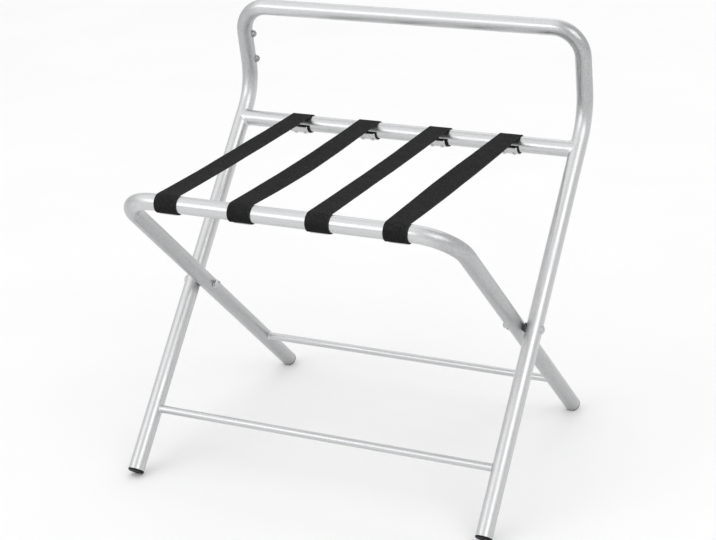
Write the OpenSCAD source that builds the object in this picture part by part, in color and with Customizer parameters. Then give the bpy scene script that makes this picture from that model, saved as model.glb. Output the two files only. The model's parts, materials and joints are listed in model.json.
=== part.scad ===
// Folding luggage rack: an outer frame whose legs run up into a low backrest hoop, an inner frame
// whose front rail is bent in one piece with its legs, two fold pivots and four webbing straps.
// Millimetres. +Z is up, the front rail is on the -Y side, and the origin is on the floor at the
// middle of the space that the open rack takes up.

/* [Overall size] */
// Width over the outer frame's tubes
rack_w = 600; // [520:5:700]
// Height of the top of the backrest hoop above the floor
rack_h = 657; // [640:1:740]
// Height of the centre lines of the two rails that carry the straps
rail_h = 463; // [430:1:475]
// Height of the fold pivots' centre line
pivot_h = 246; // [225:1:265]

/* [Frame tubes] */
// Outside diameter of the frame tube
tube_d = 25; // [22:0.5:28]
// Wall of the frame tube
tube_wall = 1.2; // [1:0.1:2]
// Lean of the outer frame's legs from the vertical, in degrees
back_lean = 41.4; // [36:0.1:45]
// Lean of the inner frame's legs from the vertical, in degrees
seat_lean = 46.9; // [42:0.1:50]
// Forward lean of the hoop's uprights from the vertical, in degrees
hoop_lean = 8.5; // [0:0.5:10]
// Centre line radius of the bends between the legs and the uprights
knee_r = 90; // [60:5:100]
// Straight leg left between the rear rail and the start of those bends
knee_gap = 4; // [1:0.5:12]
// Centre line radius of the hoop's two corners
hoop_r = 45; // [35:1:60]
// Centre line radius of the front rail's two corners
seat_r = 60; // [45:1:80]

/* [Stretchers] */
// Outside diameter of the thin tubes that join the legs near the floor
stretcher_d = 12; // [9:0.5:16]
// Wall of those thin tubes
stretcher_wall = 1.2; // [0.8:0.1:2]
// Height of the outer frame's stretcher
front_stretcher_h = 85; // [60:1:120]
// Height of the inner frame's stretcher
rear_stretcher_h = 88; // [60:1:120]

/* [Fold pivots] */
// Diameter of the pivot bolt
bolt_d = 6; // [5:0.5:8]
// Diameter of the bolt's round head
bolt_head_d = 13; // [11:0.5:16]
// Height of the bolt's round head
bolt_head_t = 3.5; // [2:0.5:5]
// Gap between the two frames' tubes, which the spacer fills
spacer_t = 2; // [1.5:0.5:5]
// Diameter of the spacer
spacer_d = 15; // [14:0.5:20]
// Diameter of the washer under the nut
washer_d = 14; // [11:0.5:18]
// Thickness of the washer under the nut
washer_t = 1.2; // [0.8:0.1:2]
// Width across the cap nut's flats
nut_af = 10; // [9:0.5:13]
// Height of the cap nut's six flats
nut_t = 5; // [4:0.5:7]
// Height of the cap nut's dome
nut_dome_t = 3; // [2:0.5:5]

/* [Feet] */
// Thickness of the plug's cap below the end of the tube
plug_t = 3; // [2:0.5:6]
// Length of the plug's shank inside the tube
plug_len = 18; // [12:1:30]
// Bevel round the plug's cap
plug_bevel = 1; // [0.5:0.1:2]
// Depth of the flat that each plug stands on
foot_flat = 0.8; // [0.4:0.1:1.5]

/* [Straps] */
// Width of the webbing
strap_w = 36; // [30:1:42]
// Thickness of the webbing
strap_t = 1.8; // [1.2:0.1:2.6]
// Free rail between the outer straps and the front rail's corners, on average
strap_edge = 3.5; // [2:0.5:20]
// Sideways shift of the four straps together
strap_shift = 2; // [-2:0.5:5]
// Sag of the straps halfway between the rails
strap_sag = 2; // [0:0.5:12]

/* [Strap clamps] */
// Place of the clamp round the rail, in degrees from the rail's top
clamp_angle = 215; // [200:1:220]
// Length of the clamp plate round the rail
plate_l = 22.5; // [18:0.5:24]
// Webbing left free at each side of the clamp plate
plate_edge = 3; // [2:0.5:5]
// Thickness of the clamp plate
plate_t = 1.2; // [0.8:0.1:2]
// Corner radius of the clamp plate
plate_r = 3; // [1:0.5:6]
// Webbing that shows past the plate, in degrees round the rail
strap_tail = 12; // [4:1:18]
// Distance between the two rivets of a clamp
rivet_pitch = 16.5; // [14:0.5:17]
// Diameter of each rivet through plate, webbing and rail
rivet_d = 4; // [3:0.2:5]
// Diameter of the rivet's round head
rivet_head_d = 7; // [6.5:0.5:9]
// Height of the rivet's round head
rivet_head_t = 2; // [1.2:0.2:3]

/* [Upright studs] */
// Diameter of the two round studs inside the left upright
stud_d = 12; // [9:0.5:14]
// Height of the studs
stud_t = 6; // [3:0.5:7]
// Distance of each stud from the bend next to it
stud_inset = 4.5; // [3:0.5:10]
// Turn of the studs towards the back, in degrees from straight inwards
stud_turn = 18; // [0:1:30]
// Diameter of a stud's shank in the tube wall
stud_shank_d = 5; // [4:0.5:6]

/* [Hidden] */
$fn = 96;
// Clearances: welded and riveted joints, webbing round a rail, parts that turn on each other
seat_gap = 0.05;
strap_gap = 0.3;
turn_gap = 0.3;
bore_gap = 0.08;
past = 1;

tube_r = tube_d / 2;
tube_ri = tube_r - tube_wall;
bolt_r = bolt_d / 2;

// Half widths to the legs' centre lines, outer frame and inner frame
outer_x = rack_w / 2 - tube_r;
inner_x = outer_x - tube_d - spacer_t;

// Heights of the plugs' end faces, at the leg's centre line
function foot_h(lean) =
    max(tube_r * sin(lean) - plug_bevel * cos(lean), (tube_r - plug_bevel) * sin(lean)) - foot_flat;
// Distance down the leg from the pivot to the plug's end face
function foot_reach(lean) = (pivot_h - foot_h(lean)) / cos(lean);

// The open rack's front and back ends, from the pivot: the webbing round the front rail and the
// upper edge of a rear plug
wrap_r = tube_r + strap_gap + strap_t;
front_end = (rail_h - pivot_h) * tan(seat_lean) + wrap_r;
rear_end = foot_reach(seat_lean) * sin(seat_lean)
    + max((tube_r - plug_bevel) * cos(seat_lean),
        tube_r * cos(seat_lean) - plug_bevel * sin(seat_lean));
pivot_y = (front_end - rear_end) / 2;

front_rail_y = pivot_y - (rail_h - pivot_h) * tan(seat_lean);
rear_rail_y = pivot_y + (rail_h - pivot_h) * tan(back_lean);

// Side view of the outer frame above the rail: the bend leaves the leg at knee_start and the
// upright runs from knee_end to the hoop's top, as [y, z]
knee_start = [rear_rail_y, rail_h] + (tube_r + knee_gap) * [sin(back_lean), cos(back_lean)];
hoop_h = rack_h - tube_r;

// A low hoop leaves less height for its bends and for the straight tube under the two studs: both
// bends are then tighter by the same share
stud_room = 2 * stud_inset + stud_d + past;
bends_room = hoop_h - knee_start[1] - stud_room * cos(hoop_lean);
bends_h = knee_r * (sin(back_lean) + sin(hoop_lean)) + hoop_r * cos(hoop_lean);
bend_share = min(1, bends_room / bends_h);
knee_bend_r = knee_r * bend_share;
hoop_bend_r = hoop_r * bend_share;

knee_end = knee_start
    + knee_bend_r * [cos(hoop_lean) - cos(back_lean), sin(back_lean) + sin(hoop_lean)];
upright_len = (hoop_h - knee_end[1]) / cos(hoop_lean);
hoop_y = knee_end[0] - upright_len * sin(hoop_lean);

outer_leg_len = (knee_start[1] - foot_h(back_lean)) / cos(back_lean) - plug_t;
inner_leg_len = (rail_h - foot_h(seat_lean)) / cos(seat_lean) - plug_t - seat_r;

// Bending tables: the seat frame's half from the middle of the front rail outwards, and the hoop's
// half from the knee up to just past the middle of its top. A row is the straight length, the
// bend's angle and its radius
seat_bends = [
    [inner_x - seat_r, 90, seat_r],
    [inner_leg_len, 0, 0]
];
hoop_bends = [
    [upright_len - hoop_bend_r, 90, hoop_bend_r],
    [outer_x - hoop_bend_r + past, 0, 0]
];
knee_angle = back_lean + hoop_lean;
knee_centre = knee_end - knee_bend_r * [cos(hoop_lean), sin(hoop_lean)];

// Straps: one pitch apart, the outer ones next to the corners of the front rail
strap_count = 4;
strap_pitch = 2 * (inner_x - seat_r - strap_edge - strap_w / 2) / (strap_count - 1);
function strap_x(i) = strap_shift + (i - (strap_count + 1) / 2) * strap_pitch;

// Clamps: radii from the rail's centre line, and where the webbing ends
plate_ri = wrap_r + seat_gap;
plate_ro = plate_ri + plate_t;
plate_w = strap_w - 2 * plate_edge;
strap_end = clamp_angle + asin(plate_l / 2 / plate_ro) + strap_tail;
// Blind side of a rivet: a bulb that is wider than the shank
bulb_lip = 1.2;
bulb_t = 2.5;
bulb_r = rivet_d / 2 + bulb_lip;
bulb_top = sqrt(pow(tube_ri, 2) - pow(bulb_r, 2)) - seat_gap;

steel = [0.84, 0.85, 0.86];
dark_steel = [0.66, 0.67, 0.69];
webbing = [0.12, 0.12, 0.13];
black_plastic = [0.08, 0.08, 0.08];

// Shank of a stud past the tube's wall, to the inside and into the head
shank_in = 2;
shank_out = 0.5;
// Plug's shank: barbs of this height on a core that is smaller than the tube's bore
barb_h = 2;
barb_lip = 1;

// Shapes shared by several parts

// Cross-section of a round tube
module ring(ro, ri) {
    difference() {
        circle(r = ro);
        circle(r = ri);
    }
}

// Tube that follows a bending table, starting at the origin along +Z and bending towards +X
module bent_tube(bends, i = 0) {
    length = bends[i][0];
    angle = bends[i][1];
    radius = bends[i][2];
    linear_extrude(length) ring(tube_r, tube_ri);
    if (angle > 0)
        translate([radius, 0, length]) {
            rotate([90, 0, 180]) rotate_extrude(angle = angle) translate([radius, 0])
                rotate(180) ring(tube_r, tube_ri);
            rotate([0, angle, 0]) translate([-radius, 0, 0]) bent_tube(bends, i + 1);
        }
}

// Moves to a pivot, with +Z along the leg that leans by the angle
module along_leg(x, lean) {
    translate([x, pivot_y, pivot_h]) rotate([lean, 0, 0]) children();
}

// Both legs of a frame as plain bars, to cut the ends of what is welded between them
module leg_bars(x, lean) {
    for (side = [-1, 1]) along_leg(side * x, lean)
        cylinder(r = tube_r + seat_gap, h = 2 * rack_h, center = true);
}

// Cross tube between two legs, its ends cut to fit round them
module cross_tube(half_x, lean, y, z, d, wall) {
    difference() {
        translate([-half_x, y, z]) rotate([0, 90, 0])
            linear_extrude(2 * half_x) ring(d / 2, d / 2 - wall);
        leg_bars(half_x, lean);
    }
}

// Moves to the rail's clamp, with +Z out through the rivet; side is 1 on the rear rail and -1 on
// the front rail
module at_clamp(i, side) {
    translate([strap_x(i), side > 0 ? rear_rail_y : front_rail_y, rail_h])
        rotate([-side * clamp_angle, 0, 0]) children();
}

// The same at both rivets of the clamp
module at_rivets(i, side) {
    at_clamp(i, side) for (x = [-1, 1]) translate([x * rivet_pitch / 2, 0, 0]) children();
}

module rivet_holes(side) {
    for (i = [1 : strap_count]) at_rivets(i, side)
        cylinder(r = rivet_d / 2 + seat_gap, h = tube_r + past);
}

// Part of a ball, standing on its flat side
module dome(d, h) {
    ball = (pow(d / 2, 2) + pow(h, 2)) / (2 * h);
    intersection() {
        translate([0, 0, h - ball]) sphere(r = ball);
        cylinder(d = d + past, h = h + past);
    }
}

// Round head whose underside is hollowed to sit on a tube of radius r that runs along X
module saddle_head(d, t, r) {
    drop = r - sqrt(pow(r, 2) - pow(d / 2, 2));
    difference() {
        union() {
            translate([0, 0, r]) dome(d, t);
            translate([0, 0, r - drop]) cylinder(d = d, h = drop);
        }
        rotate([0, 90, 0]) cylinder(r = r + seat_gap, h = 2 * d, center = true);
    }
}

// Draws the right-hand piece, or its mirror image on the left
module on_side(side) {
    if (side > 0) children();
    else mirror([1, 0, 0]) children();
}

// Outer frame

// Hoop, knees and legs, bent again at the knees after the hoop. The knees' arcs have their centres
// on one line, from which the hoop and the legs lean half of the bend each. A knee runs up from
// its leg to the hoop's plane
module knee_bent_tube() {
    for (side = [0, 1]) mirror([side, 0, 0]) {
        rotate([knee_angle / 2, 0, 0]) translate([outer_x, knee_bend_r, 0]) rotate([0, 0, 180])
            bent_tube(hoop_bends);
        rotate([-knee_angle / 2, 0, 0]) translate([outer_x, knee_bend_r, -outer_leg_len])
            linear_extrude(outer_leg_len) rotate(180) ring(tube_r, tube_ri);
        difference() {
            rotate([-knee_angle / 2, 0, 0]) translate([outer_x, 0, 0]) rotate([90, 0, 90])
                rotate_extrude(angle = knee_angle + 5) translate([knee_bend_r, 0])
                    rotate(-90) ring(tube_r, tube_ri);
            rotate([knee_angle / 2, 0, 0]) cube([rack_w, 2 * knee_bend_r, 2 * tube_d]);
        }
    }
}

module back_frame_tube() {
    color(steel) difference() {
        translate([0, knee_centre[0], knee_centre[1]]) rotate([(hoop_lean - back_lean) / 2, 0, 0])
            knee_bent_tube();
        for (side = [-1, 1]) translate([side * outer_x, pivot_y, pivot_h]) rotate([0, 90, 0])
            cylinder(r = bolt_r + seat_gap, h = tube_d + 2 * past, center = true);
        for (drop = [hoop_bend_r + stud_inset, upright_len - stud_inset]) at_stud(drop)
            cylinder(r = stud_shank_d / 2 + seat_gap, h = tube_r + past);
    }
}

module rear_rail() {
    color(steel) difference() {
        cross_tube(outer_x, -back_lean, rear_rail_y, rail_h, tube_d, tube_wall);
        rivet_holes(1);
    }
}

module front_stretcher() {
    y = pivot_y - (pivot_h - front_stretcher_h) * tan(back_lean);
    color(steel)
        cross_tube(outer_x, -back_lean, y, front_stretcher_h, stretcher_d, stretcher_wall);
}

// Moves into the left upright, the given distance below the hoop's top, with +Z out through the
// stud, which faces inwards and a little to the back
module at_stud(drop) {
    translate([-outer_x, hoop_y, hoop_h]) rotate([hoop_lean, 0, 0]) translate([0, 0, -drop])
        rotate([0, 0, stud_turn]) rotate([0, 90, 0]) children();
}

module hoop_stud(drop) {
    color(dark_steel) at_stud(drop) {
        saddle_head(stud_d, stud_t, tube_r);
        translate([0, 0, tube_ri - shank_in])
            cylinder(d = stud_shank_d, h = shank_in + tube_wall + shank_out);
    }
}

// Inner frame

module seat_frame_tube() {
    color(steel) difference() {
        translate([0, front_rail_y, rail_h]) rotate([seat_lean, 0, 0])
            for (side = [0, 1]) mirror([side, 0, 0]) rotate([0, 90, 0]) bent_tube(seat_bends);
        for (side = [-1, 1]) translate([side * inner_x, pivot_y, pivot_h]) rotate([0, 90, 0])
            cylinder(r = bolt_r + bore_gap, h = tube_d + 2 * past, center = true);
        rivet_holes(-1);
    }
}

module rear_stretcher() {
    y = pivot_y + (pivot_h - rear_stretcher_h) * tan(seat_lean);
    color(steel)
        cross_tube(inner_x, seat_lean, y, rear_stretcher_h, stretcher_d, stretcher_wall);
}

// Fold pivots: a round-headed bolt from outside through both tubes, a spacer between the tubes,
// and a washer and a cap nut inside the inner frame

bolt_len = outer_x - inner_x + tube_d + turn_gap + washer_t + nut_t;

module pivot_bolt(side) {
    color(dark_steel) on_side(side) translate([outer_x, pivot_y, pivot_h]) {
        rotate([-back_lean, 0, 0]) rotate([0, 90, 0]) saddle_head(bolt_head_d, bolt_head_t, tube_r);
        translate([tube_r - bolt_len, 0, 0]) rotate([0, 90, 0])
            cylinder(r = bolt_r, h = bolt_len + bolt_head_t / 2);
    }
}

// The spacer's outer face is hollowed to sit on the outer frame's leg, its inner face is flat
module pivot_spacer(side) {
    reach = tube_r - sqrt(pow(tube_r, 2) - pow(spacer_d / 2, 2));
    color(black_plastic) on_side(side) difference() {
        translate([inner_x + tube_r + turn_gap, pivot_y, pivot_h]) rotate([0, 90, 0])
            difference() {
                cylinder(d = spacer_d, h = spacer_t - turn_gap + reach);
                translate([0, 0, -past]) cylinder(r = bolt_r + bore_gap, h = tube_d);
            }
        along_leg(outer_x, -back_lean)
            cylinder(r = tube_r + seat_gap, h = 2 * spacer_d, center = true);
    }
}

module pivot_washer(side) {
    color(dark_steel) on_side(side)
        translate([inner_x - tube_r - turn_gap, pivot_y, pivot_h]) rotate([0, -90, 0])
            difference() {
                cylinder(d = washer_d, h = washer_t);
                translate([0, 0, -past]) cylinder(r = bolt_r + bore_gap, h = washer_t + 2 * past);
            }
}

module pivot_nut(side) {
    color(dark_steel) on_side(side)
        translate([inner_x - tube_r - turn_gap - washer_t - seat_gap, pivot_y, pivot_h])
            rotate([0, -90, 0]) difference() {
                union() {
                    cylinder(d = nut_af / cos(30), h = nut_t, $fn = 6);
                    translate([0, 0, nut_t]) dome(nut_af * 0.94, nut_dome_t);
                }
                translate([0, 0, -past]) cylinder(r = bolt_r + seat_gap, h = nut_t + past);
            }
}

// Feet: black plugs pushed into the tubes, worn flat where they stand

module foot_plug(x, lean, tilt) {
    barb_step = (plug_len - barb_h) / 3;
    color(black_plastic) difference() {
        along_leg(x, tilt) translate([0, 0, -foot_reach(lean)]) {
            cylinder(r1 = tube_r - plug_bevel, r2 = tube_r, h = plug_bevel);
            translate([0, 0, plug_bevel]) cylinder(r = tube_r, h = plug_t - plug_bevel - seat_gap);
            cylinder(r = tube_ri - barb_lip, h = plug_t + plug_len);
            for (k = [1 : 3]) translate([0, 0, plug_t + k * barb_step])
                cylinder(r1 = tube_ri - seat_gap, r2 = tube_ri - barb_lip, h = barb_h);
        }
        translate([x - tube_d, -rack_h, -tube_d]) cube([2 * tube_d, 2 * rack_h, tube_d]);
    }
}

// Straps: each runs from its rear clamp under, behind and over the rear rail, across to the front
// rail, and over, before and under that rail to its front clamp

function wrap(y, side, r, angles) = [for (a = angles) [y + side * r * sin(a), rail_h + r * cos(a)]];
function span(r, parts) = [for (k = [1 : parts - 1]) let (s = k / parts)
    [rear_rail_y + s * (front_rail_y - rear_rail_y),
     rail_h + r - 4 * strap_sag * s * (1 - s)]];
function reversed(list) = [for (k = [len(list) - 1 : -1 : 0]) list[k]];
wrap_parts = 36;
span_parts = 24;
wrap_angles = [for (k = [0 : wrap_parts]) strap_end * k / wrap_parts];
function strap_side(r) = concat(
    wrap(rear_rail_y, 1, r, reversed(wrap_angles)),
    span(r, span_parts),
    wrap(front_rail_y, -1, r, wrap_angles));

module strap(i) {
    color(webbing) difference() {
        translate([strap_x(i) - strap_w / 2, 0, 0]) rotate([90, 0, 90]) linear_extrude(strap_w)
            polygon(concat(strap_side(wrap_r), reversed(strap_side(wrap_r - strap_t))));
        for (side = [-1, 1]) at_rivets(i, side) translate([0, 0, tube_r - past])
            cylinder(r = rivet_d / 2 + bore_gap, h = strap_t + 3 * past);
    }
}

// Strap clamps: a curved plate with round corners over the end of each strap, and its two rivets

module clamp_plate(i, side) {
    color(dark_steel) at_clamp(i, side) intersection() {
        rotate([0, 90, 0]) linear_extrude(plate_w + past, center = true) ring(plate_ro, plate_ri);
        difference() {
            linear_extrude(plate_ro + past) plate_outline();
            for (x = [-1, 1]) translate([x * rivet_pitch / 2, 0, -past])
                cylinder(r = rivet_d / 2 + seat_gap, h = plate_ro + 3 * past);
        }
    }
}

module plate_outline() {
    union() {
        square([plate_w - 2 * plate_r, plate_l], center = true);
        square([plate_w, plate_l - 2 * plate_r], center = true);
        for (x = [-1, 1], y = [-1, 1])
            translate([x * (plate_w / 2 - plate_r), y * (plate_l / 2 - plate_r)])
                circle(r = plate_r);
    }
}

module rivets(side) {
    color(dark_steel) for (i = [1 : strap_count]) at_rivets(i, side) {
        saddle_head(rivet_head_d, rivet_head_t, plate_ro);
        translate([0, 0, bulb_top - bulb_t])
            cylinder(r = rivet_d / 2, h = plate_ro + rivet_head_t / 2 - bulb_top + bulb_t);
        translate([0, 0, bulb_top - bulb_t]) cylinder(r = bulb_r, h = bulb_t);
    }
}

back_frame_tube();
rear_rail();
front_stretcher();
seat_frame_tube();
rear_stretcher();
pivot_bolt(-1);  // pivot_bolt_left
pivot_bolt(1);  // pivot_bolt_right
pivot_spacer(-1);  // pivot_spacer_left
pivot_spacer(1);  // pivot_spacer_right
pivot_washer(-1);  // pivot_washer_left
pivot_washer(1);  // pivot_washer_right
pivot_nut(-1);  // pivot_nut_left
pivot_nut(1);  // pivot_nut_right
foot_plug(-outer_x, back_lean, -back_lean);  // front_foot_left
foot_plug(outer_x, back_lean, -back_lean);  // front_foot_right
foot_plug(-inner_x, seat_lean, seat_lean);  // rear_foot_left
foot_plug(inner_x, seat_lean, seat_lean);  // rear_foot_right
hoop_stud(hoop_bend_r + stud_inset);  // hoop_stud_upper
hoop_stud(upright_len - stud_inset);  // hoop_stud_lower
strap(1);  // strap_1
strap(2);  // strap_2
strap(3);  // strap_3
strap(4);  // strap_4
clamp_plate(1, 1);  // rear_clamp_1
clamp_plate(2, 1);  // rear_clamp_2
clamp_plate(3, 1);  // rear_clamp_3
clamp_plate(4, 1);  // rear_clamp_4
clamp_plate(1, -1);  // front_clamp_1
clamp_plate(2, -1);  // front_clamp_2
clamp_plate(3, -1);  // front_clamp_3
clamp_plate(4, -1);  // front_clamp_4
rivets(1);  // rear_rivets
rivets(-1);  // front_rivets
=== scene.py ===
import json
import math

import bpy
import numpy as np
from mathutils import Matrix, Vector


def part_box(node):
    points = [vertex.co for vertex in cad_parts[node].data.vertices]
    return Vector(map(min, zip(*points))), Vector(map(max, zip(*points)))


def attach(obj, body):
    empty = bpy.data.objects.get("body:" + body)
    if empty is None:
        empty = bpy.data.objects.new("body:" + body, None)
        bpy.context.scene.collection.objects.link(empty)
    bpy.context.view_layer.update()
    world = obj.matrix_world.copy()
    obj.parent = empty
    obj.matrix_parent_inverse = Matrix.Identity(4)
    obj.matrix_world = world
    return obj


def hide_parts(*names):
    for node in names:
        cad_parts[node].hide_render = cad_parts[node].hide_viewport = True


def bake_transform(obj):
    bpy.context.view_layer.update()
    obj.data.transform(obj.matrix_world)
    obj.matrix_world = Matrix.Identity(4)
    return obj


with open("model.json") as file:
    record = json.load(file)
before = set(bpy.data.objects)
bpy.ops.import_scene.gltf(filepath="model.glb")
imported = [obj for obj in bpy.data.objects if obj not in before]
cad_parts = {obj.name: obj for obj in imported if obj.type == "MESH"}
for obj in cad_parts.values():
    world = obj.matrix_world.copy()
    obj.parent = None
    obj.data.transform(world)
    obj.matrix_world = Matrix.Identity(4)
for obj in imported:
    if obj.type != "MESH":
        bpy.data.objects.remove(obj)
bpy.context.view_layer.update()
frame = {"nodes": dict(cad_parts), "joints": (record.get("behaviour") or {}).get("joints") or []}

MM = 0.001

# Sizes in mm and angles in degrees, as in the CAD source
TUBE_R = 12.5
STRETCHER_R = 6.0
RAIL_H = 463.0
OUTER_X = 287.5
INNER_X = 260.5
STRAP_T = 1.8
WRAP_R = 14.6            # outside of the webbing where it lies on a rail
STRAP_END = 272.22       # how far the webbing goes round each rail
BACK_LEAN = 41.4
SEAT_LEAN = 46.9
HOOP_LEAN = 8.5
FOLD = 83.0


def mid(node, axis):
    """Middle of a node's box along one axis, in mm"""
    low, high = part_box(node)
    return (low[axis] + high[axis]) / 2 / MM


# Places and the strap's width in mm, read from the frame
REAR_Y = mid("rear_rail", 1)
FRONT_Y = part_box("seat_frame_tube")[0][1] / MM + TUBE_R
PIVOT_Y, PIVOT_Z = [v / MM for v in frame["joints"][0]["pos_m"]][1:]
STRAP_W = (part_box("strap_1")[1][0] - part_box("strap_1")[0][0]) / MM


# Camera: turns in degrees, place in mm and focal length in pixels, as fitted to the photograph

YAW, PITCH, ROLL = 26.02, -21.01, -2.29
CAMERA_PLACE = (1127.9, -2309.1, 1284.9)
FOCAL_PIXELS = 1809.28
PHOTO_WIDTH = 716
SENSOR_WIDTH = 36


def make_camera():
    yaw, pitch, roll = (math.radians(a) for a in (YAW, PITCH, ROLL))
    forward = Vector((-math.sin(yaw) * math.cos(pitch), math.cos(yaw) * math.cos(pitch),
                      math.sin(pitch)))
    right = Vector((math.cos(yaw), math.sin(yaw), 0))
    up = right.cross(forward)
    view_x = math.cos(roll) * right + math.sin(roll) * up
    view_y = -math.sin(roll) * right + math.cos(roll) * up
    turn = Matrix((view_x, view_y, -forward)).transposed().to_4x4()
    data = bpy.data.cameras.new("camera")
    data.sensor_width = SENSOR_WIDTH
    data.lens = FOCAL_PIXELS * SENSOR_WIDTH / PHOTO_WIDTH
    data.clip_start = 0.05
    data.clip_end = 100
    camera = bpy.data.objects.new("camera", data)
    bpy.context.scene.collection.objects.link(camera)
    camera.matrix_world = Matrix.Translation(Vector(CAMERA_PLACE) * MM) @ turn
    bpy.context.scene.camera = camera


make_camera()


# Materials. Lengths in them are in metres, and a noise's scale is per metre

def set_stops(ramp_node, stops):
    """Gives a colour ramp its stops, each a place from 0 to 1 and a colour"""
    elements = ramp_node.color_ramp.elements
    while len(elements) < len(stops):
        elements.new(0.5)
    for element, (place, colour) in zip(elements, stops):
        element.position = place
        element.color = (*colour, 1)


class Graph:
    """A material's node tree, built by short calls. at is a point's place on the object, and uv is
    its place on the piece's own map"""

    def __init__(self, name):
        self.mat = bpy.data.materials.new(name)
        self.mat.use_nodes = True
        self.tree = self.mat.node_tree
        self.tree.nodes.clear()
        self.bsdf = self.tree.nodes.new("ShaderNodeBsdfPrincipled")
        out = self.tree.nodes.new("ShaderNodeOutputMaterial")
        self.tree.links.new(self.bsdf.outputs[0], out.inputs[0])
        coords = self.tree.nodes.new("ShaderNodeTexCoord")
        self.at = coords.outputs["Object"]
        self.uv = coords.outputs["UV"]

    def link(self, value, socket):
        """Joins a node's output to the socket, or sets the socket to a plain value"""
        if isinstance(value, bpy.types.NodeSocket):
            self.tree.links.new(value, socket)
        else:
            socket.default_value = value

    def math(self, op, *values, clamp=False):
        node = self.tree.nodes.new("ShaderNodeMath")
        node.operation = op
        node.use_clamp = clamp
        for value, socket in zip(values, node.inputs):
            self.link(value, socket)
        return node.outputs[0]

    def weighted(self, *pairs):
        """The sum of each value times its weight"""
        total = None
        for value, weight in pairs:
            term = value if weight == 1 else self.math("MULTIPLY", value, weight)
            total = term if total is None else self.math("ADD", total, term)
        return total

    def mapped(self, vector, scale=(1, 1, 1), turn=(0, 0, 0)):
        node = self.tree.nodes.new("ShaderNodeMapping")
        self.link(vector, node.inputs["Vector"])
        node.inputs["Scale"].default_value = scale
        node.inputs["Rotation"].default_value = [math.radians(a) for a in turn]
        return node.outputs[0]

    def noise(self, vector, scale, detail=2.0, rough=0.5):
        """Noise from 0 to 1. scale is one number, or one for each axis"""
        if isinstance(scale, tuple):
            vector = self.mapped(vector, scale=scale)
            scale = 1.0
        node = self.tree.nodes.new("ShaderNodeTexNoise")
        self.link(vector, node.inputs["Vector"])
        node.inputs["Scale"].default_value = scale
        node.inputs["Detail"].default_value = detail
        node.inputs["Roughness"].default_value = rough
        return node.outputs[0]

    def parts(self, vector):
        """The vector's x, y and z"""
        node = self.tree.nodes.new("ShaderNodeSeparateXYZ")
        self.link(vector, node.inputs[0])
        return node.outputs[0], node.outputs[1], node.outputs[2]

    def ramp(self, value, low, high, start=0.0, end=1.0):
        """start up to low, end from high on, and a straight rise between"""
        node = self.tree.nodes.new("ShaderNodeMapRange")
        node.inputs["From Min"].default_value = low
        node.inputs["From Max"].default_value = high
        node.inputs["To Min"].default_value = start
        node.inputs["To Max"].default_value = end
        self.link(value, node.inputs["Value"])
        return node.outputs[0]

    def colours(self, value, stops):
        node = self.tree.nodes.new("ShaderNodeValToRGB")
        set_stops(node, stops)
        self.link(value, node.inputs[0])
        return node.outputs[0]

    def mix(self, share, a, b):
        """a at share 0 and b at share 1, for numbers"""
        node = self.tree.nodes.new("ShaderNodeMix")
        node.data_type = "FLOAT"
        self.link(share, node.inputs[0])
        self.link(a, node.inputs[2])
        self.link(b, node.inputs[3])
        return node.outputs[0]

    def bump(self, height, distance, strength):
        node = self.tree.nodes.new("ShaderNodeBump")
        node.inputs["Distance"].default_value = distance
        node.inputs["Strength"].default_value = strength
        self.link(height, node.inputs["Height"])
        return node.outputs[0]

    def set(self, **values):
        """Sets the shader's sockets by name, with _ for a space"""
        for name, value in values.items():
            self.link(value, self.bsdf.inputs[name.replace("_", " ")])


# Colours of the tubes' metal, from the darkest mottle in painted shade to the colour where no shade
# is painted
DARK = (0.385, 0.388, 0.394)
PAINTED_SHADE_STEEL = (0.460, 0.463, 0.469)
BRIGHT = (0.622, 0.626, 0.632)

# Noise scales across, across and along a tube
LINE_GRAIN = (2600, 2600, 22)
SCRATCH_GRAIN = (520, 520, 16)

# Where the grain and painted shade of one section give way to the next one's: from and to, in metres
SEAT_CORNER_X = (0.222, 0.246)
KNEE_Z = (0.530, 0.495)
HOOP_CORNER_X = (0.268, 0.248)
HOOP_CORNER_Z = (0.622, 0.636)


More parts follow.
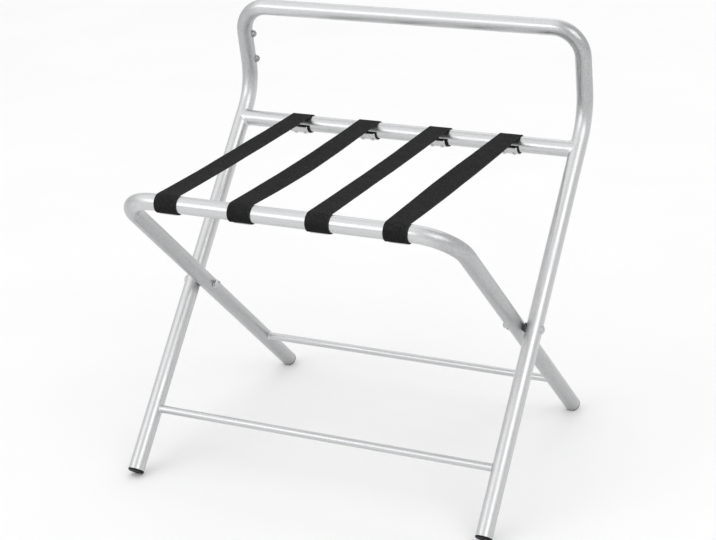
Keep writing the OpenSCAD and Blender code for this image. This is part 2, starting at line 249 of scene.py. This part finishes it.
def tube_steel(name, sections):
    """Satin bright tube: fine polishing lines that run along the tube, a fine mottle, faint smudges
    and small marks. Each section is the tube's lean from the vertical, or None for a tube along X,
    its painted lightness from 0 to 1, where a low value darkens the base colour as painted shade,
    and a mask, a function of the graph that gives 0 to 1. The first section has no mask and is the
    ground"""
    g = Graph(name)
    for lean, painted_lightness, mask in sections:
        turned = g.mapped(g.at, turn=(0, 90, 0) if lean is None else (lean, 0, 0))
        fine = g.noise(turned, LINE_GRAIN, detail=3.0, rough=0.6)
        coarse = g.noise(turned, SCRATCH_GRAIN)
        if mask is None:
            lines, scratches, painted_level = fine, coarse, painted_lightness
        else:
            share = mask(g)
            lines = g.mix(share, lines, fine)
            scratches = g.mix(share, scratches, coarse)
            painted_level = g.mix(share, painted_level, painted_lightness)
    smudge = g.noise(g.at, 38.0, detail=4.0, rough=0.55)
    cloud = g.noise(g.at, 7.0)
    pits = g.ramp(g.noise(g.at, 900.0, detail=1.0), 0.74, 0.80)
    mottle = g.noise(g.at, 400.0, detail=3.0, rough=0.65)
    streaks = g.weighted((cloud, 0.25), (scratches, 0.50), (lines, 0.25))
    # The painted level darkens the base colour of the uprights and the seat's legs as painted shade
    tone = g.weighted((painted_level, 0.7),
                      (g.ramp(streaks, 0.35, 0.65, 0.0, 0.3), 1),
                      (g.ramp(mottle, 0.36, 0.64, -0.09, 0.29), 1))
    rough = g.weighted((g.ramp(smudge, 0.3, 0.75, 0.0, 0.06), 1),
                       (g.ramp(cloud, 0.38, 0.62, 0.0, 0.09), 1),
                       (g.ramp(lines, 0.3, 0.7, 0.23, 0.31), 1),
                       (pits, 0.12))
    height = g.weighted((lines, 0.45), (scratches, 1.6), (mottle, 0.9), (pits, -0.8))
    g.set(Base_Color=g.colours(tone, [(0.0, DARK), (0.22, PAINTED_SHADE_STEEL), (0.98, BRIGHT)]), Metallic=1.0,
          Roughness=rough, Normal=g.bump(height, distance=0.00003, strength=0.6))
    return g.mat


def seat_legs(g):
    """1 on the inner frame's legs, 0 on the front rail"""
    x = g.parts(g.at)[0]
    return g.ramp(g.math("ABSOLUTE", x), *SEAT_CORNER_X)


def back_legs(g):
    """1 below the knees, 0 above them"""
    z = g.parts(g.at)[2]
    return g.ramp(z, *KNEE_Z)


def hoop_top(g):
    """1 on the straight top of the hoop, 0 on the rest"""
    x, _, z = g.parts(g.at)
    high = g.ramp(z, *HOOP_CORNER_Z)
    between = g.ramp(g.math("ABSOLUTE", x), *HOOP_CORNER_X)
    return g.math("MULTIPLY", high, between)


def plain_steel(name, shade, rough, grain_scale):
    """Plated small parts: a short brushed grain, darker in the pores and brighter where rubbed"""
    g = Graph(name)
    grain = g.noise(g.at, grain_scale, detail=3.0, rough=0.6)
    cloud = g.noise(g.at, 160.0, detail=3.0)
    tone = g.weighted((grain, 0.45), (cloud, 0.55))
    pores = [c * 0.82 for c in shade]
    rubbed = [c * 1.1 for c in shade]
    g.set(Base_Color=g.colours(tone, [(0.3, pores), (0.7, rubbed)]), Metallic=1.0,
          Roughness=g.ramp(tone, 0.3, 0.7, rough - 0.06, rough + 0.10),
          Normal=g.bump(grain, distance=0.00004, strength=0.7))
    return g.mat


def plastic(name, shade, worn_below=None):
    """Moulded plastic with a fine spark-eroded grain and, on the feet, scuffs at the floor"""
    g = Graph(name)
    grain = g.noise(g.at, 2200.0, rough=0.6)
    cloud = g.noise(g.at, 120.0, detail=3.0)
    tone = g.weighted((grain, 0.3), (cloud, 0.7))
    if worn_below is not None:
        near_floor = g.ramp(g.parts(g.at)[2], worn_below, 0.0)
        scuffs = g.ramp(g.noise(g.at, (700, 700, 280), detail=3.0), 0.46, 0.62)
        scuffs = g.math("MULTIPLY", near_floor, scuffs)
        tone = g.math("ADD", tone, g.math("MULTIPLY", scuffs, 0.5), clamp=True)
    dark = [c * 0.75 for c in shade]
    light = [c * 1.35 for c in shade]
    worn = [c * 4.5 + 0.02 for c in shade]
    g.set(Base_Color=g.colours(tone, [(0.3, dark), (0.7, light), (1.0, worn)]),
          Roughness=g.ramp(tone, 0.3, 0.8, 0.42, 0.62), Specular_IOR_Level=0.2,
          Normal=g.bump(grain, distance=0.00005, strength=0.6))
    return g.mat


# Pitches of the weave's ribs across the strap and of its knuckles along a rib, and how far from
# the strap's edge the paler selvedge begins and is full
RIB_PITCH = 0.00118
KNUCKLE_PITCH = 0.0021
SELVEDGE_FROM, SELVEDGE_FULL = 0.0021, 0.0013

# Colours of the webbing, from its hollows to its dusty high points
WEBBING_HOLLOW = (0.0042, 0.0042, 0.0044)
WEBBING_BLACK = (0.0190, 0.0190, 0.0196)
WEBBING_DUSTY = (0.064, 0.064, 0.065)


def webbing(name):
    """Black woven polypropylene: ribs of warp along the strap, with knuckles that lie offset from
    rib to rib, a slightly paler edge at each side, fine fibres, a mottle and a little dust"""
    g = Graph(name)
    u, v, _ = g.parts(g.uv)
    wobble = g.math("MULTIPLY", g.noise(g.uv, 160.0), 0.35)
    across = g.math("ADD", g.math("DIVIDE", u, RIB_PITCH), wobble)
    odd = g.math("MODULO", g.math("FLOOR", across), 2.0)
    along = g.math("ADD", g.math("DIVIDE", v, KNUCKLE_PITCH), g.math("MULTIPLY", odd, 0.5))
    along = g.math("ADD", along, wobble)
    rib = g.math("ABSOLUTE", g.math("SINE", g.math("MULTIPLY", across, math.pi)))
    rib = g.math("POWER", rib, 0.6)
    knuckle = g.math("ABSOLUTE", g.math("SINE", g.math("MULTIPLY", along, math.pi)))
    knuckle = g.math("POWER", knuckle, 0.5)
    weave = g.math("MULTIPLY", rib, g.ramp(knuckle, 0.0, 1.0, 0.45, 1.0))
    half = STRAP_W * MM / 2
    from_middle = g.math("ABSOLUTE", g.math("SUBTRACT", u, half))
    edge = g.ramp(from_middle, half - SELVEDGE_FROM, half - SELVEDGE_FULL)
    fibre = g.noise(g.uv, (5200, 900, 1), detail=3.0, rough=0.65)
    dust = g.noise(g.uv, 60.0, detail=4.0, rough=0.6)
    mottle = g.noise(g.uv, (640, 180, 1), rough=0.6)
    tone = g.weighted((weave, 0.34), (fibre, 0.20), (dust, 0.14),
                      (g.ramp(mottle, 0.34, 0.66, 0.0, 0.15), 1), (edge, 0.06))
    height = g.weighted((weave, 1), (fibre, 0.22))
    stops = [(0.24, WEBBING_HOLLOW), (0.49, WEBBING_BLACK), (0.74, WEBBING_DUSTY)]
    g.set(Base_Color=g.colours(tone, stops), Roughness=g.ramp(tone, 0.2, 0.85, 0.88, 0.68),
          Specular_IOR_Level=0.04, Sheen_Weight=0.006, Sheen_Roughness=0.45,
          Normal=g.bump(height, distance=0.00028, strength=0.75))
    return g.mat


def weld_metal(name):
    """Ground and plated weld: like the tube, with a slightly mottled surface"""
    g = Graph(name)
    cloud = g.noise(g.at, 300.0, detail=4.0, rough=0.6)
    dull, bright = (0.56, 0.56, 0.57), (0.70, 0.70, 0.71)
    g.set(Base_Color=g.colours(cloud, [(0.3, dull), (0.7, bright)]), Metallic=1.0,
          Roughness=g.ramp(cloud, 0.3, 0.7, 0.26, 0.42),
          Normal=g.bump(cloud, distance=0.00012, strength=0.6))
    return g.mat


# Each section's middle number is its painted lightness: the uprights and the seat's legs get a
# darker base colour as painted shade
steel_back = tube_steel("steel_back_frame", [(-HOOP_LEAN, 0.05, None), (BACK_LEAN, 0.95, back_legs),
                                             (None, 1.0, hoop_top)])
steel_seat = tube_steel("steel_seat_frame", [(None, 1.0, None), (-SEAT_LEAN, 0.1, seat_legs)])
steel_rail = tube_steel("steel_cross_tube", [(None, 0.9, None)])
brushed = plain_steel("plated_clamp", shade=(0.62, 0.62, 0.63), rough=0.30,
                      grain_scale=(1500, 120, 120))
bolt_steel = plain_steel("plated_bolt", shade=(0.55, 0.55, 0.56), rough=0.26,
                         grain_scale=(700, 700, 700))
stud_steel = plain_steel("plated_stud", shade=(0.36, 0.37, 0.38), rough=0.30,
                         grain_scale=(700, 700, 700))
plug_black = plastic("plug_plastic", shade=(0.007, 0.007, 0.0074), worn_below=0.012)
spacer_grey = plastic("spacer_plastic", shade=(0.07, 0.07, 0.072))
strap_black = webbing("strap_webbing")
weld = weld_metal("weld_metal")

# The material of each CAD node that shows, by the start of its name
LOOKS = {
    "back_frame_tube": steel_back, "seat_frame_tube": steel_seat, "rear_rail": steel_rail,
    "front_stretcher": steel_rail, "rear_stretcher": steel_rail,
    "pivot_bolt": bolt_steel, "pivot_nut": bolt_steel, "pivot_washer": brushed,
    "pivot_spacer": spacer_grey, "front_foot": plug_black, "rear_foot": plug_black,
    "hoop_stud": stud_steel, "rear_clamp": brushed, "front_clamp": brushed,
    "rear_rivets": bolt_steel, "front_rivets": bolt_steel,
}
for node_name, obj in frame["nodes"].items():
    for key, look in LOOKS.items():
        if node_name.startswith(key):
            for slot in obj.material_slots:
                slot.material = look


# Mesh helper for the scene's own pieces

def new_piece(name, verts, faces, mat, smooth=True):
    mesh = bpy.data.meshes.new(name)
    mesh.from_pydata([tuple(v) for v in verts], [], faces)
    mesh.materials.append(mat)
    if smooth:
        mesh.shade_smooth()
    mesh.update()
    obj = bpy.data.objects.new(name, mesh)
    bpy.context.scene.collection.objects.link(obj)
    return obj


# Straps, in mm and radians. A row of the webbing lies on the rear wrap, the span or the front wrap

REAR_WRAP, SPAN, FRONT_WRAP = 0, 1, 2
WRAP_STEPS = 76
SPAN_STEPS = 150
POINTS_ACROSS = 37
POINTS_ROUND_EDGE = 9
EDGE_R = 0.9             # how far in from each side the rounded edge begins
SELVEDGE_W = 2.6
BODY_THICKNESS = 0.93    # share of the selvedge's thickness that the rest of the width has

# Each strap's sag halfway, and how far its right edge then turns below its left
SAGS = [1.9, 4.6, 1.6, 0.7]
TURNS = [0.0, 0.08, -0.02, 0.13]
# How far each strap lies to the right of its clamps' middles, at the rear rail and at the front rail
REAR_SHIFTS = [0.0, -1.2, 0.8, -1.3]
FRONT_SHIFTS = [1.8, 0.5, 2.2, -0.4]

# Small unevenness of every span
DRIFT = 0.5              # how far it wanders sideways
DRIFT_WAVES = 2.3        # half waves of that along the span
TWIST = 0.012
TWIST_WAVES = 1.6
HOLLOW = 0.55            # how far the middle of its width lies below the edges
RIPPLE = 0.12            # height of the small waves at its edges
RIPPLE_RUN = 17.0        # run of the strap for each radian of those waves
STRAP_PHASE = 1.7        # makes each strap's waves differ from the last one's
WEAVE_SHIFT = 0.613      # metres that each strap's weave lies further along than the last one's

# Share of the fold that a point of the span takes, by its distance from the pivot along Y: the
# slack hangs in front of the rear rail and comes back up through the gap between the two rails
SHARES = [(-231.9, 1.0), (-216, 0.99), (-200, 0.955), (-185, 0.907), (-170, 0.86), (-153, 0.82),
          (-117, 0.74), (-65, 0.6), (0, 0.43), (65, 0.245), (117, 0.115), (153, 0.035),
          (174, 0.0), (191.3, 0.0)]
SPAN_EASE = 6            # how quickly the span's own path takes over beside each wrap


def smooth_steps(points, at):
    """Monotone cubic through the points (x, y), x rising"""
    x, y = np.array(points, float).T
    gap, rise = np.diff(x), np.diff(y) / np.diff(x)
    slope = np.zeros_like(x)
    for k in range(1, len(x) - 1):
        if rise[k - 1] * rise[k] > 0:
            a, b = 2 * gap[k] + gap[k - 1], gap[k] + 2 * gap[k - 1]
            slope[k] = (a + b) / (a / rise[k - 1] + b / rise[k])
    k = np.clip(np.searchsorted(x, at) - 1, 0, len(gap) - 1)
    t = (at - x[k]) / gap[k]
    return ((1 + 2 * t) * (1 - t) ** 2 * y[k] + t * (1 - t) ** 2 * gap[k] * slope[k]
            + t * t * (3 - 2 * t) * y[k + 1] + t * t * (t - 1) * gap[k] * slope[k + 1])


def wrap_rows(rail_y, side, part):
    """Rows of one wrap from its clamped end to its top. side is 1 where the end lies to the back"""
    r = WRAP_R - STRAP_T / 2
    rows = []
    for k in range(WRAP_STEPS, -1, -1):
        a = math.radians(STRAP_END * k / WRAP_STEPS)
        rows.append((rail_y + side * r * math.sin(a), RAIL_H + r * math.cos(a),
                     side * math.sin(a), math.cos(a), part))
    return rows


def strap_line(sag):
    """Centre line of the webbing from its rear end to its front end: y, z, the outward normal's y
    and z, and the part that the row lies on"""
    top = RAIL_H + WRAP_R - STRAP_T / 2
    rows = wrap_rows(REAR_Y, 1, REAR_WRAP)
    for k in range(1, SPAN_STEPS):
        s = k / SPAN_STEPS
        slope = 4 * sag * (1 - 2 * s) / (FRONT_Y - REAR_Y)
        length = math.hypot(1, slope)
        rows.append((REAR_Y + s * (FRONT_Y - REAR_Y), top - 4 * sag * s * (1 - s),
                     slope / length, 1 / length, SPAN))
    rows += reversed(wrap_rows(FRONT_Y, -1, FRONT_WRAP))
    return np.array(rows)


def strap_outline():
    """Cross-section of the webbing: places across its width and from its middle, going round. The
    edges are rounded, and each has a slightly thicker selvedge"""
    half, t = STRAP_W / 2, STRAP_T / 2
    top = []
    for x in np.linspace(-half + EDGE_R, half - EDGE_R, POINTS_ACROSS):
        thick = t * (1.0 if abs(x) > half - SELVEDGE_W else BODY_THICKNESS)
        top.append((x, thick))
    right = [(half - EDGE_R + EDGE_R * math.sin(a), t * math.cos(a))
             for a in np.linspace(0, math.pi, POINTS_ROUND_EDGE)[1:-1]]
    bottom = [(x, -h) for x, h in reversed(top)]
    left = [(-x, -h) for x, h in right]
    return np.array(top + right + bottom + left)


def span_place(line):
    """How far along the span each row lies: 0 on the rear wrap's side, 1 on the front wrap's"""
    return np.clip((REAR_Y - line[:, 0]) / (REAR_Y - FRONT_Y), 0, 1)


def strap_points(i, line, shape, run):
    """The webbing's points in mm, and its weave's map in metres, u across and v along"""
    centre = mid(f"strap_{i}", 0)
    half = STRAP_W / 2
    seed = STRAP_PHASE * i
    place, part = span_place(line), line[:, 4]
    free = np.where(part == SPAN, np.sin(np.pi * place), 0.0)
    ease = np.where(part == REAR_WRAP, 0.0, np.where(part == FRONT_WRAP, 1.0, place))
    verts, uv = [], []
    for k, (y, z, normal_y, normal_z) in enumerate(line[:, :4]):
        drift = DRIFT * free[k] * math.sin(DRIFT_WAVES * math.pi * place[k] + seed) \
            + REAR_SHIFTS[i - 1] * (1 - ease[k]) + FRONT_SHIFTS[i - 1] * ease[k]
        wave = TWIST * math.sin(TWIST_WAVES * math.pi * place[k] + 2 * seed)
        twist = free[k] * (wave - TURNS[i - 1])
        for u, h in shape:
            hollow = -HOLLOW * free[k] * (1 - (u / half) ** 2)
            phase = seed + (2 if u > 0 else 0)
            ripple = RIPPLE * free[k] * math.sin(run[k] / RIPPLE_RUN + phase) * abs(u / half) ** 3
            off = h + hollow + ripple + twist * u
            verts.append((centre + u + drift, y + off * normal_y, z + off * normal_z))
            uv.append(((u + half) * MM, run[k] * MM + i * WEAVE_SHIFT))
    return np.array(verts), np.array(uv)


def strap_faces(rows, around):
    """The webbing's faces, with one face at each end"""
    faces = []
    for k in range(rows - 1):
        for j in range(around):
            a, b = k * around + j, k * around + (j + 1) % around
            faces.append((a, a + around, b + around, b))
    faces.append(tuple(range(around)))
    faces.append(tuple((rows - 1) * around + j for j in range(around - 1, -1, -1)))
    return faces


def set_shares(line):
    """Works out each row's share of the fold, none on the rear wrap, all of it on the front wrap and
    its own share on the span, and from that the folded centre line, its direction and the span's
    ease. None of this is given to the webbing's mesh"""
    part = line[:, 4]
    y, z = line[:, 0] - PIVOT_Y, line[:, 1] - PIVOT_Z
    span_share = smooth_steps(SHARES, y)
    share = np.where(part == REAR_WRAP, 0.0, np.where(part == FRONT_WRAP, 1.0, span_share))
    angle, radius = np.arctan2(y, z) + np.radians(FOLD) * share, np.hypot(y, z)
    path = np.c_[radius * np.sin(angle), radius * np.cos(angle)]
    along = np.gradient(path, axis=0)
    along /= np.maximum(np.hypot(along[:, 0], along[:, 1]), 1e-9)[:, None]
    ease = np.clip(np.sin(np.pi * span_place(line)) * SPAN_EASE, 0, 1)
    ease = np.where(part == SPAN, ease, 0.0)[:, None]


def make_strap(i):
    """The webbing that stands for one strap's solid: its mesh and its weave's map"""
    line, shape = strap_line(SAGS[i - 1]), strap_outline()
    around = len(shape)
    step = np.hypot(*np.diff(line[:, :2], axis=0).T)
    run = np.concatenate([[0], np.cumsum(step)])
    verts, uv = strap_points(i, line, shape, run)
    strap = new_piece(f"strap_webbing_{i}", verts * MM, strap_faces(len(line), around), strap_black)
    layer = strap.data.uv_layers.new(name="weave")
    index = np.zeros(len(strap.data.loops), np.int32)
    strap.data.loops.foreach_get("vertex_index", index)
    layer.data.foreach_set("uv", uv[index].astype(np.float32).ravel())
    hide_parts(f"strap_{i}")
    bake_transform(strap)
    set_shares(line)


for number in range(1, 5):
    make_strap(number)


# Welds, in mm: how far each reaches along both tubes, and how its mesh is made

RAIL_WELD = 4.0
STRETCHER_WELD = 1.6
WELD_STEPS = 168         # points round the tube
WELD_ARC = 9             # points across the weld's face
WELD_LIFT = 0.04         # how far its edges stand proud of the tubes
WELD_DEPTH = 1.2         # how deep its root lies below the corner
WELD_THINNEST = 0.12     # share of its reach that it keeps where the tubes' surfaces run together
WELD_SHARP = 50          # degrees between two faces that show as an edge


def weld_fillet(name, body, small_r, lean, place, side, reach):
    """A smooth ground weld in the corner round a cross tube of radius small_r, where it meets a leg
    that leans by lean degrees. place is where the two tubes' axes meet on the right side, and side
    is -1 for the left and 1 for the right. The weld reaches so far along both tubes, and thins out
    where one tube's surface runs on into the other's"""
    lean = math.radians(lean)
    leg_axis = np.array([0.0, math.sin(lean), math.cos(lean)])
    square_to_leg = np.array([0.0, math.cos(lean), -math.sin(lean)])
    leg_r, tube_r = TUBE_R + WELD_LIFT, small_r + WELD_LIFT
    seam, outward, leg_normals = [], [], []
    for k in range(WELD_STEPS):
        a = 2 * math.pi * k / WELD_STEPS
        d = np.array([0.0, math.cos(a), math.sin(a)])
        off = float(d @ square_to_leg) * tube_r
        back = math.sqrt(max(leg_r ** 2 - off * off, 0.0))
        seam.append(tube_r * d - np.array([back, 0.0, 0.0]))
        outward.append(d)
        leg_normals.append((off * square_to_leg - np.array([back, 0.0, 0.0])) / leg_r)
    verts, faces = [], []
    for k in range(WELD_STEPS):
        p, d, n = seam[k], outward[k], leg_normals[k]
        t = seam[(k + 1) % WELD_STEPS] - seam[k - 1]
        t /= np.linalg.norm(t)
        size = reach * max(math.sqrt(max(1 - float(n @ d) ** 2, 0.0)), WELD_THINNEST)
        on_leg = p + size * np.cross(n, t)
        along = float(on_leg @ leg_axis) * leg_axis
        on_leg = along + (on_leg - along) * leg_r / np.linalg.norm(on_leg - along)
        on_tube = p + size * np.cross(t, d)
        on_tube[1:] *= tube_r / np.linalg.norm(on_tube[1:])
        ring = [(1 - c) ** 2 * on_leg + 2 * c * (1 - c) * p + c * c * on_tube
                for c in np.linspace(0, 1, WELD_ARC)]
        ring.append(p - WELD_DEPTH * (n + d) / np.linalg.norm(n + d))
        verts += [(side * (place[0] + q[0]), place[1] + q[1], place[2] + q[2]) for q in ring]
    count = WELD_ARC + 1
    for k in range(WELD_STEPS):
        here, after = k * count, (k + 1) % WELD_STEPS * count
        for j in range(count):
            beside = (j + 1) % count
            corners = (here + j, here + beside, after + beside, after + j)
            faces.append(corners if side > 0 else corners[::-1])
    fillet = new_piece(name, np.array(verts) * MM, faces, weld)
    fillet.data.set_sharp_from_angle(angle=math.radians(WELD_SHARP))
    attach(fillet, body)


FRONT_STRETCHER_AT = (OUTER_X, mid("front_stretcher", 1), mid("front_stretcher", 2))
REAR_STRETCHER_AT = (INNER_X, mid("rear_stretcher", 1), mid("rear_stretcher", 2))
for side, word in ((-1, "left"), (1, "right")):
    weld_fillet(f"rear_rail_weld_{word}", "back_frame", TUBE_R, BACK_LEAN,
                (OUTER_X, REAR_Y, RAIL_H), side, RAIL_WELD)
    weld_fillet(f"front_stretcher_weld_{word}", "back_frame", STRETCHER_R, BACK_LEAN,
                FRONT_STRETCHER_AT, side, STRETCHER_WELD)
    weld_fillet(f"rear_stretcher_weld_{word}", "seat_frame", STRETCHER_R, -SEAT_LEAN,
                REAR_STRETCHER_AT, side, STRETCHER_WELD)


# Floor and light, in metres and degrees. Azimuth 0 is the front, 90 the right

FLOOR_R = 30.0
FLOOR_SIDES = 48
FLOOR_PALE, FLOOR_PALER = 0.905, 0.92
FLOOR_BOUNCE = 0.5       # share of its colour in the light that it throws back up

# The world's brightness by height, from the horizon to overhead, and its strength
WORLD_STOPS = [(0.0, 0.98), (0.30, 1.0), (0.60, 0.96), (1.0, 0.90)]
WORLD_STRENGTH = 0.85
# Brighter areas of the world's light: azimuth, elevation, inner and outer half angle, gain
GLOWS = [(-75, 58, 15, 48, 1.52), (-160, 10, 10, 45, 1.06)]
# Lamps: name, azimuth, elevation, distance, width, height and radiance
LAMPS = [("key", 58, 43, 7.0, 5.2, 3.8, 1.32),
         ("front", -30, 26, 7.0, 5.2, 3.0, 1.45),
         ("rear", 190, 40, 7.0, 5.0, 2.0, 0.9)]
LAMP_AIM = (0, 0, 0.3)


def make_floor():
    """White to the camera and in the metal, and greyer in the light that it throws back up"""
    verts, faces = [(0.0, 0.0, 0.0)], []
    for k in range(FLOOR_SIDES):
        a = 2 * math.pi * k / FLOOR_SIDES
        verts.append((FLOOR_R * math.cos(a), FLOOR_R * math.sin(a), 0.0))
        faces.append((0, 1 + k, 1 + (k + 1) % FLOOR_SIDES))
    g = Graph("floor_paint")
    paint = g.ramp(g.noise(g.at, 3.0), 0.3, 0.7, FLOOR_PALE, FLOOR_PALER)
    path = g.tree.nodes.new("ShaderNodeLightPath").outputs
    seen = g.math("MAXIMUM", path["Is Camera Ray"], path["Is Glossy Ray"])
    seen = g.math("MAXIMUM", seen, path["Is Transmission Ray"])
    g.set(Base_Color=g.math("MULTIPLY", paint, g.mix(seen, FLOOR_BOUNCE, 1.0)),
          Roughness=0.9, Specular_IOR_Level=0.1)
    floor = new_piece("floor", verts, faces, g.mat, smooth=False)


def towards(azimuth, elevation):
    """Unit vector to that side"""
    a, e = math.radians(azimuth), math.radians(elevation)
    return Vector((math.sin(a) * math.cos(e), -math.cos(a) * math.cos(e), math.sin(e)))


def make_world():
    """A pale studio, brighter high on the left, where a large cloth diffuses the light"""
    world = bpy.data.worlds.new("studio")
    bpy.context.scene.world = world
    world.use_nodes = True
    tree = world.node_tree
    tree.nodes.clear()
    out = tree.nodes.new("ShaderNodeOutputWorld")
    back = tree.nodes.new("ShaderNodeBackground")
    coords = tree.nodes.new("ShaderNodeTexCoord")
    parts = tree.nodes.new("ShaderNodeSeparateXYZ")
    ramp = tree.nodes.new("ShaderNodeValToRGB")
    tree.links.new(coords.outputs["Generated"], parts.inputs[0])
    tree.links.new(parts.outputs[2], ramp.inputs[0])
    set_stops(ramp, [(at, (v, v, v)) for at, v in WORLD_STOPS])
    total = ramp.outputs[0]
    for azimuth, elevation, inner, outer, gain in GLOWS:
        dot = tree.nodes.new("ShaderNodeVectorMath")
        dot.operation = "DOT_PRODUCT"
        tree.links.new(coords.outputs["Generated"], dot.inputs[0])
        dot.inputs[1].default_value = towards(azimuth, elevation)
        soft = tree.nodes.new("ShaderNodeMapRange")
        soft.interpolation_type = "SMOOTHSTEP"
        soft.inputs["From Min"].default_value = math.cos(math.radians(outer))
        soft.inputs["From Max"].default_value = math.cos(math.radians(inner))
        soft.inputs["To Min"].default_value = 1
        soft.inputs["To Max"].default_value = gain
        tree.links.new(dot.outputs["Value"], soft.inputs["Value"])
        both = tree.nodes.new("ShaderNodeVectorMath")
        both.operation = "MULTIPLY"
        tree.links.new(total, both.inputs[0])
        tree.links.new(soft.outputs[0], both.inputs[1])
        total = both.outputs[0]
    tree.links.new(total, back.inputs["Color"])
    back.inputs["Strength"].default_value = WORLD_STRENGTH
    tree.links.new(back.outputs[0], out.inputs[0])


def soft_box(name, azimuth, elevation, distance, width, height, radiance):
    """A large area lamp that faces the rack from that side"""
    data = bpy.data.lights.new(name, "AREA")
    data.shape = "RECTANGLE"
    data.size = width
    data.size_y = height
    data.energy = radiance * math.pi * width * height
    away = towards(azimuth, elevation)
    lamp = bpy.data.objects.new(name, data)
    bpy.context.scene.collection.objects.link(lamp)
    lamp.location = Vector(LAMP_AIM) + away * distance
    lamp.rotation_mode = "QUATERNION"
    lamp.rotation_quaternion = away.to_track_quat("Z", "Y")
    lamp.visible_camera = False


make_floor()
make_world()
for lamp_values in LAMPS:
    soft_box(*lamp_values)

bpy.context.scene.view_settings.view_transform = "Standard"
